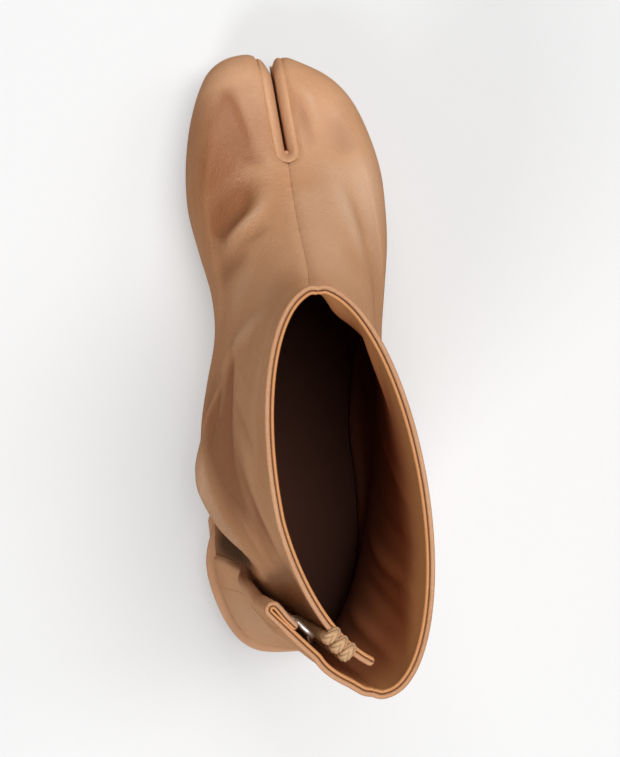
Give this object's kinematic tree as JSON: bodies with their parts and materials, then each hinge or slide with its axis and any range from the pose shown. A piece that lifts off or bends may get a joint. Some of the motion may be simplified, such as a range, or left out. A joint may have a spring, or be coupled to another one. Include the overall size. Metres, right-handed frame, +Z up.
{
  "type": "split-toe ankle boot",
  "caption": "Soft leather split-toe ankle boot standing empty on a low covered heel, its back side fastening of cord loops and hook plates left open.",
  "frame": {"origin": "On the floor, in the middle of the boot's bounding box", "axes": "+X points to the toes, +Y to the inner side of the foot (the big toe), +Z up"},
  "size_m": [0.2574, 0.086, 0.1883],
  "materials": {
    "upper_leather": "smooth tan nappa leather",
    "sole_leather": "tan sole leather",
    "lining_leather": "brown lining leather",
    "heel_rubber": "dark brown rubber",
    "loop_cord": "plaited waxed cord",
    "hook_metal": "dull nickel plate"
  },
  "bodies": {
    "root": {"upper": "upper_leather", "toe_gusset": "upper_leather", "outsole": "sole_leather", "insole": "lining_leather", "heel": "upper_leather", "heel_top_piece": "heel_rubber", "loop_cord_1": "loop_cord", "loop_cord_2": "loop_cord", "loop_cord_3": "loop_cord", "hook_1": "hook_metal", "hook_2": "hook_metal", "hook_3": "hook_metal", "hook_4": "hook_metal", "hook_5": "hook_metal"}
  },
  "joints": []
}
